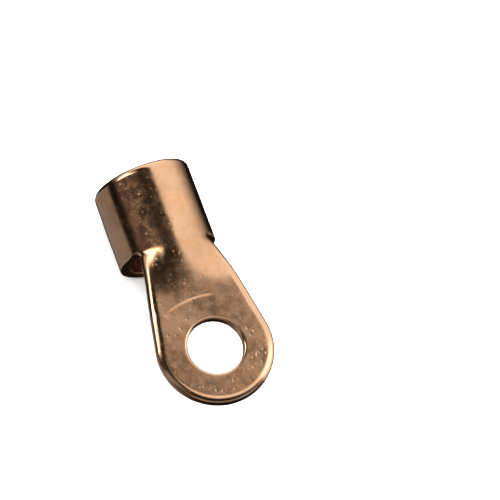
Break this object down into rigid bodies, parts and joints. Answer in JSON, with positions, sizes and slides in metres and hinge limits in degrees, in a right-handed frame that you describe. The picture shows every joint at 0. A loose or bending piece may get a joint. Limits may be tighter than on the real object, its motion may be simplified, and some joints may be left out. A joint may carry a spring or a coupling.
{
  "type": "cable lug",
  "caption": "Uninsulated ring cable lug: a flat ring palm with a stud hole, a flared neck and a rolled barrel for the conductor, pressed from one thick copper sheet.",
  "frame": {"origin": "centre of the stud hole, on the contact face of the palm", "axes": "+X from the stud hole to the barrel's mouth, along the barrel; +Z out of the contact face, away from the barrel; +Y across the palm"},
  "size_m": [0.0491, 0.022, 0.0189],
  "materials": {
    "copper": "satin bare copper, lightly tarnished"
  },
  "bodies": {
    "root": {"cable_lug": "copper"}
  },
  "joints": []
}
